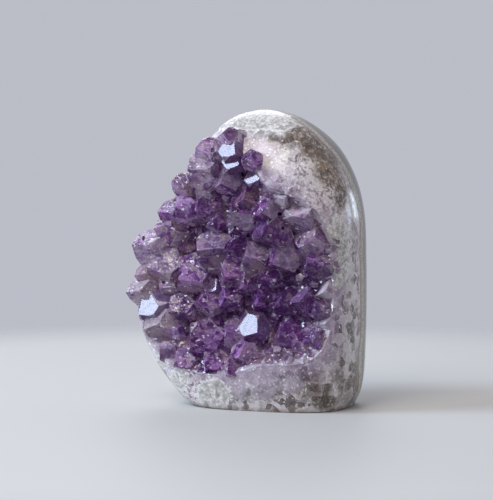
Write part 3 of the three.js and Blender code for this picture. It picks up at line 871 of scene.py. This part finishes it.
def amethyst_material(sizes):
    """Clear violet quartz: pale roots and violet tips, zones, veils and cracks inside, growth lines on the
    faces, white spots of chipped quartz that also paint glints, black specks, and a body that takes up green
    light first.
    Painted light and shade as well: shade at the roots between the crystals, facets made darker or paler at
    random, small cells each lighter towards a side of its own, highlights on the worn edges, and a glow at
    the left edge."""
    g = Graph(bpy.data.materials.new("amethyst"))
    at = g.place()
    share, tint, facet, edge = g.carried("share tint facet edge")
    dark, pale, calm, flush, lines = g.carried("dark pale calm flush lines")
    cloud = g.noise(g.warp(at, 0.2, 3.0), 0.2, 4.0, 0.6)
    veil = g.noise(g.place((0.5, 0.5, 1.3), (0.4, 0.9, 0.2)), 0.55, 5.0, 0.7)
    grain = g.noise(at, 1.3, 4.0, 0.75)
    inner = g.warp(at, 0.35, 2.0)
    broken = g.facets(inner, 0.3)
    violet = share + 1.2 * (cloud - 0.5) + 0.5 * (tint - 0.5) + 0.9 * broken + 0.3 * dark - 0.6 * pale
    zone = cloud * 0.8 + veil * 0.2 + 0.6 * broken + 0.1 * tint + 0.15 * dark - 0.15 * pale
    cracks = g.cells(inner, 0.3, "DISTANCE_TO_EDGE").step(0.06, 0.0) * grain.step(0.5, 0.62)
    # Painted light and shade: small broken cells, each lighter towards a side of its own as if lit from
    # there, and grain; it darkens the body to 0.68 and lightens it up to 1.75 times.
    light = (0.5 + 1.2 * g.facets(g.warp(at, 1.0, 0.6), 0.9) + 1.3 * (grain - 0.5)).clamp()
    body = g.over(
        g.mix(tint.step(0.1, 0.9), (0.55, 0.43, 0.47), (0.84, 0.74, 0.86)),
        (violet.step(0.25, 0.8), sizes.violet),
        (zone.step(0.5, 0.62) * 0.9, (0.16, 0.015, 0.27)),
        (g.noise(at, 0.09, 3.0).step(0.48, 0.58), (0.88, 0.77, 0.77), TINT),
        (veil.step(0.57, 0.62) * 0.5, (0.92, 0.86, 0.94)),
        (cracks * 0.6, (0.95, 0.90, 0.97)),
        (1.0, g.mix(light, (0.68, 0.6, 0.68), (1.75, 1.7, 1.75)), TINT),
        # Painted shade and sheen: at random some facets darker and some paler, as lit and unlit facets look.
        (facet.step(0.8, 0.1), (0.5, 0.42, 0.53), TINT),
        (facet.step(0.7, 1.0) * 0.45, (0.92, 0.87, 0.96)),
        # The pale patches at the left edge paint the glow of light through the crystals there; the others are
        # paler crystals.
        (pale * veil.step(0.35, 0.6) * 0.65, (0.84, 0.76, 0.86)),
        (calm * 0.75, (0.20, 0.11, 0.28)),
        (dark * 0.55, (0.55, 0.45, 0.55), TINT),
        # Painted shade: darker towards the roots and on the floor between the crystals.
        (share.step(0.35, 0.0), (0.6, 0.5, 0.62), TINT),
        # Worn edges made pale: partly the frost of wear, partly a painted highlight where the edges catch the
        # light.
        (edge * 0.6, (0.95, 0.90, 0.98)),
        (g.ovals(SPECKS, 1.5, 0.8).step(1.1, 0.8), (0.004, 0.003, 0.004)))
    rugged = (cloud + 0.3 * veil).step(0.6, 0.7) + share.step(0.12, 0.0)
    chipped = g.facets(at, 1.3) * rugged.clamp() * (1.0 - calm)
    bump = g.bump(0.6, 0.04 * g.noise_along(lines, 1.1, 4.0) + 1.4 * chipped)
    rough = 0.02 + 0.12 * g.noise(at, 0.3, 4.0).step(0.5, 0.7) * (1.0 - calm)
    clear = g.node("BsdfPrincipled", inputs={
        "Base Color": body, "Roughness": rough, "IOR": 1.54, "Transmission Weight": sizes.clearness,
        "Normal": bump})
    depths = g.node("VolumeAbsorption", inputs={"Color": sizes.absorption, "Density": sizes.density})
    # White spots of chipped quartz, which also paint glints.
    chips_and_glints = g.picked(g.warp(at, 1.5, 0.8), 1.1).step(0.945, 0.96) * veil.step(0.5, 0.56)
    chips_and_glints = chips_and_glints * (1.0 - calm) * (1.0 - dark)
    white = polished(g, g.mix(flush, (0.97, 0.94, 1.0), mosaic(g, at)), 0.1, bump)
    surface = g.node("MixShader", inputs={0: flush.math("MAXIMUM", 0.85 * chips_and_glints), 1: clear, 2: white})
    return g.finish(surface, depths)


def mosaic(g, at):
    """Quartz crystals cut across: cells with pale outlines, each clearer in its middle and, as painted shade,
    lighter towards a side of its own as if lit from there, in larger and in smaller cells, and more lilac the
    nearer they are to the hollow. A few crystals show whole, as flat ovals with a faint broken outline,
    painted with the
    shade of domes: lighter in the middle, darker towards the outline. White specks that also paint glints lie
    over them."""
    near, small, smoky = g.carried("near small smoky")
    shaped = g.warp(g.warp(at, 0.15, 3.5), 0.7, 0.9)
    fine = g.noise(at, 0.9, 5.0, 0.75)
    cloud = g.noise(at, 0.2, 4.0, 0.6)
    sizes = []
    for scale, line, varied in ((0.17, 0.03, 0.7), (0.34, 0.06, 2.4)):
        picked = g.picked(shaped, scale)
        edge = g.cells(shaped, scale, "DISTANCE_TO_EDGE")
        # The facets terms are painted shade: each cell lighter towards a side of its own, as if lit from
        # there.
        tone = 0.55 + varied * (picked - 0.5) + 1.6 * g.facets(shaped, scale) + 1.2 * (cloud - 0.5)
        tone = tone + 0.4 * g.facets(at, 0.8) + 0.5 * (fine - 0.5) + 0.3 * edge.step(0.2, 0.0)
        tone = tone - 0.6 * smoky + 0.32 * small
        low = g.over((0.17, 0.14, 0.14), (smoky, (0.11, 0.075, 0.05)), (near, (0.22, 0.15, 0.235)))
        high = g.mix(near, (0.66, 0.61, 0.62), (0.50, 0.41, 0.53))
        sizes.append(g.over(
            g.mix(tone.clamp(), low, high),
            (edge.step(line, 0.0) * fine.step(0.45, 0.57) * 0.6, (0.74, 0.70, 0.73)),
            (picked.step(0.18, 0.12) * small, (0.12, 0.095, 0.085))))
    # The whole crystals are flat ovals painted with the shade of domes: lighter in the middle, darker towards
    # the outline.
    oval = g.ovals(PAINTED_DOMES, 0.3, 5.0)
    whole = g.mix((oval + 1.5 * (fine - 0.5)).step(0.3, 1.1), (0.50, 0.42, 0.52), (0.30, 0.245, 0.31))
    outline = oval.step(0.9, 1.0) * oval.step(1.12, 1.0) * fine.step(0.45, 0.6)
    # White specks, partly grains and partly painted glints.
    specks = g.picked(g.warp(at, 1.5, 0.6), 1.5).step(0.87, 0.9)
    return g.over(
        g.mix((small + 0.8 * (cloud - 0.5)).step(0.3, 0.5), *sizes),
        (oval.step(1.08, 0.96) * 0.7, whole),
        (outline * 0.4, (0.62, 0.57, 0.61)),
        (specks * cloud.step(0.43, 0.56) * fine.step(0.42, 0.52) * 0.85, (0.88, 0.87, 0.89)))


def quartz_colour(g, at):
    """The polished face: the mosaic of cells with feathers that radiate in them, frost and brown stains."""
    frost, stain, milky = g.carried("frost stain milky")
    warped = g.warp(g.warp(at, 0.12, 5.0), 0.6, 1.4)
    fine = g.noise(at, 0.5, 6.0, 0.75)
    grain = g.noise(at, 1.0, 4.0, 0.7)
    blotch = g.noise(warped, 0.2, 5.0, 0.65, 0.8)
    centre = g.cells(warped, 0.15, output="Position")
    rays = g.vector("SCALE", g.vector("NORMALIZE", g.vector("SUBTRACT", warped, centre)), scale=2.6)
    feather = g.noise(g.vector("ADD", rays, g.vector("SCALE", at, scale=0.15)), 1.0, 2.5, 0.5)
    sugar = g.picked(g.warp(at, 0.8, 1.0), 0.6)
    ice = g.mix(sugar * 0.6 + 1.6 * (grain - 0.5) + 0.3, (0.28, 0.26, 0.255), (0.75, 0.72, 0.70))
    frosty = frost * 1.25 + 0.7 * (fine - 0.5) + 1.2 * (blotch - 0.5)
    ragged = stain + 0.9 * (fine - 0.5) + 0.8 * (blotch - 0.5)
    brown = g.over(
        (0.075, 0.055, 0.04),
        (blotch.step(0.42, 0.6), (0.24, 0.165, 0.10)),
        (grain.step(0.5, 0.66) * 0.6, (0.34, 0.29, 0.25)))
    made = g.over(
        mosaic(g, at),
        ((milky * 0.85 + 0.1) * feather.step(0.40, 0.55), (0.82, 0.75, 0.77)),
        (milky * feather.step(0.46, 0.36) * 0.5, (0.30, 0.245, 0.265)),
        (frosty.step(0.34, 0.44) * 0.9, ice),
        (frosty.step(0.34, 0.39) * frosty.step(0.52, 0.45) * 0.75, (0.84, 0.83, 0.82)),
        (ragged.step(0.2, 0.55) * fine.step(0.64, 0.5) * 0.9, brown),
        (1.0, g.mix(grain.step(0.35, 0.65), (0.86, 0.86, 0.86), (1.14, 1.14, 1.14)), TINT))
    return made, fine, grain


def rind_colour(g, at, wavy, fine):
    """The brown line, the cream line behind it, and the banded grey rind."""
    grain = g.noise(at, 1.2, 3.0, 0.7)
    bands = g.noise_along(0.16 * wavy + 2.2 * g.noise(at, 0.04, 2.0), 1.0, 3.0)
    patch = g.noise(g.warp(at, 0.1, 6.0), 0.06, 6.0, 0.65)
    (stain,) = g.carried("stain")
    grey = g.over(
        (0.14, 0.135, 0.13),
        (bands.step(0.36, 0.64), (0.245, 0.24, 0.232)),
        (patch.step(0.5, 0.62) * 0.65, (0.165, 0.145, 0.105)),
        (patch.step(0.42, 0.34) * 0.5, (0.30, 0.29, 0.28)),
        (fine.step(0.52, 0.7) * 0.6, (0.10, 0.095, 0.08)),
        (grain.step(0.62, 0.75) * 0.3, (0.5, 0.48, 0.44)),
        (stain * fine.step(0.4, 0.6), (0.13, 0.09, 0.05)))
    cream = g.mix(grain.step(0.38, 0.6), (0.26, 0.215, 0.17), (0.57, 0.52, 0.45))
    return g.mix(grain, (0.09, 0.06, 0.04), (0.26, 0.17, 0.10)), cream, grey


def stone_material(sizes):
    """Polished quartz that turns into banded agate behind the brown line, with a lilac wall in the hollow."""
    g = Graph(bpy.data.materials.new("agate_and_quartz"))
    at = g.place()
    quartz, fine, grain = quartz_colour(g, at)
    frost, milky, layer, inside = g.carried("frost milky layer inside")
    wavy = layer + 1.4 * (fine - 0.5)
    brown, cream, grey = rind_colour(g, at, wavy, fine)
    foot = g.node("SeparateXYZ", inputs={0: at}, output="Z").step(2.0, 0.3)
    made = g.over(
        quartz,
        (foot * fine.step(0.35, 0.55) * 0.7, brown),
        (wavy.step(-1.6, -0.4) * 0.8, brown),
        (wavy.step(-0.1, 0.3), cream),
        (wavy.step(3.4, 4.8), grey),
        (inside, g.mix(fine.step(0.4, 0.6), (0.32, 0.21, 0.37), (0.58, 0.48, 0.61))))
    face = wavy.step(0.0, -1.0)
    rough = sizes.polish + 0.35 * frost * grain.step(0.4, 0.6) * face + 0.3 * inside
    chipped = g.facets(at, 1.3) * fine.step(0.45, 0.6) * face
    height = 0.2 * grain * (0.1 + frost) * face + 0.2 * chipped * (milky + frost)
    return g.finish(polished(g, made, rough, g.bump(0.5, height)))


def vertices(mesh):
    """A mesh's points in millimetres in the stone's own axes."""
    return read(mesh.vertices, "co", np.float32, 3).reshape(-1, 3).astype(float) / MM - SHIFT


def carry(mesh, name, values, domain="POINT"):
    """Stores a value for each point, corner or face of a mesh."""
    mesh.attributes.new(name, "FLOAT", domain).data.foreach_set("value", np.asarray(values, np.float32))


def ground_owner(points, placed):
    """The ground crystal that each point lies deepest in, and -1 for a point outside them all."""
    least = np.full(len(points), GROUND_NEAR)
    owner = np.full(len(points), -1)
    for i in np.where(placed["ground"])[0]:
        past = (points @ placed["normals"][i, :OWN_PLANES].T - placed["far"][i, :OWN_PLANES]).max(1)
        owner = np.where(past < least, i, owner)
        least = np.minimum(past, least)
    return owner


def near_hollow(points):
    """1 at the hollow's rim, falling off with the floor's height over the stone's surface."""
    along, out, up = from_face(*points.T).T
    return np.where(out > 0, np.exp(-np.maximum(floor_at(along, up) - out, 0) / NEAR_FADE), 0)


def carry_patches(mesh, points, names, domain="POINT"):
    """Stores how near to the hollow the points are, and how much of each named patch they have."""
    across, up = seen(points)
    carry(mesh, "near", near_hollow(points), domain)
    for name in names:
        carry(mesh, name, blobs(across, up, PATCHES[name]), domain)


def stone_values(mesh):
    """What the stone's finish reads: the layer, in millimetres behind the brown line, how far inside the
    hollow a point is, how near to the hollow, and how frosty, stained, smoky, milky or small in its cells."""
    points = vertices(mesh)
    size, seed, long = LINE_WAVES
    layer = points[:, 1] - np.interp(points[:, 2], LINE_HEIGHTS, LINE_BACK) + size * waves(points, seed, long)
    carry(mesh, "layer", np.maximum(layer, FOOT_LINE - points[:, 2]))
    carry(mesh, "inside", smooth(depth_in(points), *WALL_DEPTH))
    carry_patches(mesh, points, ("frost", "stain", "smoky", "milky", "small"))


def crust_values(mesh, placed):
    """What the crystals' finish reads, corner by corner: whether a ground crystal is cut flush there, the
    share of the crystal's length from root to tip, which also paints shade at the roots, millimetres along it
    on its sides, a number for the facet, which paints it darker or paler at random as painted shade and
    sheen, and one for the crystal, whether it is a shining one, and whether the facet is a worn edge, which
    is painted pale as a highlight."""
    owner = np.rint(read(mesh.attributes["owner"].data, "value", np.float32)).astype(int)
    owner, plane = np.divmod(np.repeat(owner, read(mesh.polygons, "loop_total")), PLANES)
    owner -= 1
    corner = read(mesh.loops, "vertex_index")
    points = vertices(mesh)[corner]
    surface = np.abs(depth_in(points)) < FLUSH
    flush = (owner < 0) & surface
    owner = np.where(flush, ground_owner(vertices(mesh), placed)[corner], owner)
    flush |= (owner >= 0) & placed["ground"][owner] & surface
    root, axis, length, index = (placed[name][owner] for name in ("root", "axis", "length", "index"))
    along = np.einsum("ni,ni->n", points - root, axis)
    floor = owner < 0
    own = plane < OWN_PLANES
    values = {
        "flush": flush,
        "share": np.where(floor, 0, along / length),
        "lines": np.where(~floor & own & (plane % 2 == 1), along + index, 0),
        "facet": np.where(floor | flush, 0.5, chance(index, FOR_FACET + np.where(own, plane, 0))),
        "tint": np.where(floor, 0.5, chance(index, FOR_TINT)),
        "calm": ~floor & np.isin(index, SHINING),
        "edge": ~own & ~floor & ~flush,
    }
    for name, value in values.items():
        carry(mesh, name, value, "CORNER")
    carry_patches(mesh, points, ("smoky", "small", "dark", "pale"), "CORNER")
    mesh.attributes.remove(mesh.attributes["owner"])


COLOUR = {"size": 4, "min": 0, "max": 1, "subtype": "COLOR"}
SHARE = {"min": 0, "max": 1, "subtype": "FACTOR"}


class GEODE_PG_stone(bpy.types.PropertyGroup):
    """Sizes of the polished stone's mesh and finish."""
    rows: IntProperty(name="Rows", description="Rings of points up the stone", default=200, min=40, max=240)
    around: IntProperty(name="Around", description="Points in each ring", default=320, min=60, max=360)
    polish: FloatProperty(name="Polish", description="Roughness of the polished face", default=0.1, **SHARE)


class GEODE_PG_crystals(bpy.types.PropertyGroup):
    """Colours and clearness of the crystals."""
    violet: FloatVectorProperty(
        name="Violet", description="Colour of the tips", default=(0.60, 0.31, 0.76, 1.0), **COLOUR)
    absorption: FloatVectorProperty(
        name="Body", description="Colour that the body lets through", default=(0.65, 0.38, 0.72, 1.0),
        **COLOUR)
    density: FloatProperty(
        name="Density", description="How strongly the body takes up light", default=45, min=0, max=1000)
    clearness: FloatProperty(
        name="Clearness", description="Share of the light that passes through the faces", default=0.6,
        **SHARE)


class GEODE_PG_studio(bpy.types.PropertyGroup):
    """The camera, the backdrop and the floor."""
    distance: FloatProperty(
        name="Distance", description="From the geode to the camera", default=0.9, min=0.2, unit="LENGTH")
    rise: FloatProperty(
        name="Rise", description="How far above level the camera stands", default=math.radians(4),
        subtype="ANGLE")
    wall: FloatVectorProperty(
        name="Wall", description="Colour of the backdrop", default=(0.495, 0.507, 0.57, 1.0), **COLOUR)
    floor: FloatVectorProperty(
        name="Floor", description="Colour of the floor", default=(0.53, 0.525, 0.515, 1.0), **COLOUR)


class GEODE_OT_stone(bpy.types.Operator):
    """Build the polished stone: a dense loft with the hollow and the ground crystals' pockets cut out"""
    bl_idname = "geode.stone"
    bl_label = "Polished stone"

    def execute(self, context):
        sizes = context.scene.geode_stone
        placed = all_crystals()
        stone = new_object("stone_body", *whole_stone(sizes.rows, sizes.around))
        steps = [("DIFFERENCE", new_object("hollow", *hollow(WALL_AROUND, FLOOR_SHOWN)))]
        steps += [("DIFFERENCE", o) for o in crystal_objects(placed, placed["ground"], POCKET_SHRUNK)]
        combine(stone, steps)
        keep_largest(stone.data)
        stone.data.shade_smooth()
        stone.data.set_sharp_from_angle(angle=SHARP_FROM)
        stone_values(stone.data)
        stone.data.materials.append(stone_material(sizes))
        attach(stone, "root")
        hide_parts("polished_stone")
        return {"FINISHED"}


class GEODE_OT_crystals(bpy.types.Operator):
    """Build the crust of crystals on the hollow's floor"""
    bl_idname = "geode.crystals"
    bl_label = "Amethyst crust"

    def execute(self, context):
        placed = all_crystals()
        sizes = context.scene.geode_stone
        crust = new_object("crystals", *hollow(CRUST_AROUND, -ROOT_DEPTH))
        carry(crust.data, "owner", np.zeros(len(crust.data.polygons)), "FACE")
        inner = hollow(CRUST_AROUND, CRUST_THICKNESS, HOLLOW_MOUTH + 1)
        steps = [("DIFFERENCE", new_object("inner", *inner))]
        steps += [("UNION", o) for o in crystal_objects(placed, placed["ground"])]
        limit = whole_stone(sizes.rows, sizes.around, -GROUND_BELOW)
        steps.append(("INTERSECT", new_object("limit", *limit)))
        steps += [("UNION", o) for o in crystal_objects(placed, ~placed["ground"])]
        combine(crust, steps)
        crust_values(crust.data, placed)
        crust.data.materials.append(amethyst_material(context.scene.geode_crystals))
        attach(crust, "root")
        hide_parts("amethyst_crust")
        return {"FINISHED"}


# The lights: name, turn from the front towards the right and rise in degrees, distance in metres, size
# across and up in metres, radiance, and colour.
LIGHTS = (
    ("window", -60, 30, 1.6, 0.64, 0.89, 14.5, (0.65, 0.81, 1.0)),
    ("soft", -15, 50, 1.6, 0.75, 0.75, 6.2, (1.0, 0.92, 0.83)),
    ("spark_left", -85, 12, 0.9, 0.1, 0.16, 18.0, (1.0, 0.98, 0.96)),
    ("spark_top", -10, 80, 0.8, 0.12, 0.12, 6.0, (1.0, 1.0, 1.0)),
    ("tall_window", 142, 6, 0.7, 0.08, 0.07, 5.0, (0.6, 0.78, 1.0)),
    ("side_window", 157, 6, 0.7, 0.022, 0.09, 12.0, (0.7, 0.85, 1.0)),
    ("behind", 205, 35, 0.8, 0.4, 0.4, 2.5, (1.0, 1.0, 1.0)),
)

# The floor is solid to the first distance from the middle, in metres, and has faded out at the second.
FLOOR_FADE = (0.2, 0.31)
FLOOR_RADIUS = 0.33
FLOOR_AROUND = 96

# The photograph's scale, in metres a pixel where the geode stands, its height in pixels, and the height
# above the floor of the place in its middle.
PIXEL = 0.37 * MM
PHOTO_HEIGHT = 500
AIM_HEIGHT = 56.8 * MM


def towards(turn, rise):
    """The direction from the geode to something that is turned from the front to the right, and raised."""
    return Vector((math.sin(turn) * math.cos(rise), -math.cos(turn) * math.cos(rise), math.sin(rise)))


def look_from(made, aim, back, far):
    """Puts a lamp or a camera so far back from what it is aimed at, and turns it to look there."""
    made.location = aim + back * far
    made.rotation_euler = (-back).to_track_quat("-Z", "Y").to_euler()


def area_light(name, turn, rise, far, across, up, radiance, tone):
    """An area light that looks at the geode's middle and isn't seen itself. Its power is pi times its area
    times its radiance."""
    light = bpy.data.lights.new(name, "AREA")
    light.shape = "RECTANGLE"
    light.size = across
    light.size_y = up
    light.energy = math.pi * across * up * radiance
    light.color = tone
    lamp = linked(name, light)
    lamp.visible_camera = False
    look_from(lamp, Vector((0, 0, HEIGHT / 2 * MM)), towards(math.radians(turn), math.radians(rise)), far)


def floor_disc():
    """A level disc, as one face with many corners."""
    angle = round_turn(FLOOR_AROUND)
    rim = FLOOR_RADIUS * np.stack([np.cos(angle), np.sin(angle), 0 * angle], -1)
    mesh = bpy.data.meshes.new("floor")
    mesh.from_pydata(rim, [], [list(range(FLOOR_AROUND))])
    return linked("floor", mesh)


def floor_material(sizes):
    """Pale, slightly glossy, and fading out round the edge so that no horizon shows."""
    g = Graph(bpy.data.materials.new("floor"))
    far = g.vector("LENGTH", g.node("TexCoord", output="Object"), output="Value")
    solid = g.node("BsdfPrincipled", inputs={"Base Color": sizes.floor, "Roughness": 0.5, "IOR": 1.25})
    clear = g.node("BsdfTransparent")
    return g.finish(g.node("MixShader", inputs={0: far.step(*FLOOR_FADE), 1: solid, 2: clear}))


def room(sizes):
    """The backdrop's colour for what is seen, and for light: the backdrop behind, and a dim room in front."""
    g = Graph(bpy.data.worlds.new("studio"))
    way = g.node("TexCoord", output="Generated")
    front = g.node("SeparateXYZ", inputs={0: way}, output="Y").step(0.3, -0.5)
    low = g.node("SeparateXYZ", inputs={0: way}, output="Z").step(0.1, -0.3)
    light = g.over(sizes.wall, (front, (0.195, 0.195, 0.205)), (low, (0.42, 0.42, 0.43)))
    return g.finish(g.node("Background", inputs={"Color": g.mix(g.node("LightPath"), light, sizes.wall)}))


class GEODE_OT_studio(bpy.types.Operator):
    """Set the floor, the lights and the camera"""
    bl_idname = "geode.studio"
    bl_label = "Studio"

    def execute(self, context):
        scene = context.scene
        sizes = scene.geode_studio
        floor = floor_disc()
        floor.data.materials.append(floor_material(sizes))
        scene.world = room(sizes)
        scene.view_settings.view_transform = "Standard"
        for light in LIGHTS:
            area_light(*light)
        camera = linked("camera", bpy.data.cameras.new("camera"))
        scene.camera = camera
        camera.data.lens = camera.data.sensor_width * sizes.distance / (PHOTO_HEIGHT * PIXEL)
        aim = Vector((SHIFT[0] * MM, SHIFT[1] * MM, AIM_HEIGHT))
        look_from(camera, aim, towards(VIEW_TURN, sizes.rise), sizes.distance)
        return {"FINISHED"}


class GEODE_PT_panel(bpy.types.Panel):
    """The geode's pieces, and the sizes and colours of each"""
    bl_idname = "GEODE_PT_panel"
    bl_label = "Amethyst geode"
    bl_space_type = "VIEW_3D"
    bl_region_type = "UI"
    bl_category = "Geode"

    def draw(self, context):
        for group, operator in GROUPS.items():
            box = self.layout.box()
            box.operator(operator.bl_idname)
            sizes = getattr(context.scene, group)
            for name in sizes.__annotations__:
                box.prop(sizes, name)


GROUPS = {"geode_stone": GEODE_OT_stone, "geode_crystals": GEODE_OT_crystals, "geode_studio": GEODE_OT_studio}
SIZES = {"geode_stone": GEODE_PG_stone, "geode_crystals": GEODE_PG_crystals, "geode_studio": GEODE_PG_studio}
CLASSES = (*SIZES.values(), *GROUPS.values(), GEODE_PT_panel)


def register():
    for made in CLASSES:
        bpy.utils.register_class(made)
    for name, made in SIZES.items():
        setattr(bpy.types.Scene, name, PointerProperty(type=made))


def unregister():
    for name in SIZES:
        delattr(bpy.types.Scene, name)
    for made in reversed(CLASSES):
        bpy.utils.unregister_class(made)


def main():
    """Builds every piece and the studio."""
    register()
    bpy.ops.geode.stone()
    bpy.ops.geode.crystals()
    bpy.ops.geode.studio()


if __name__ == "__main__":
    main()
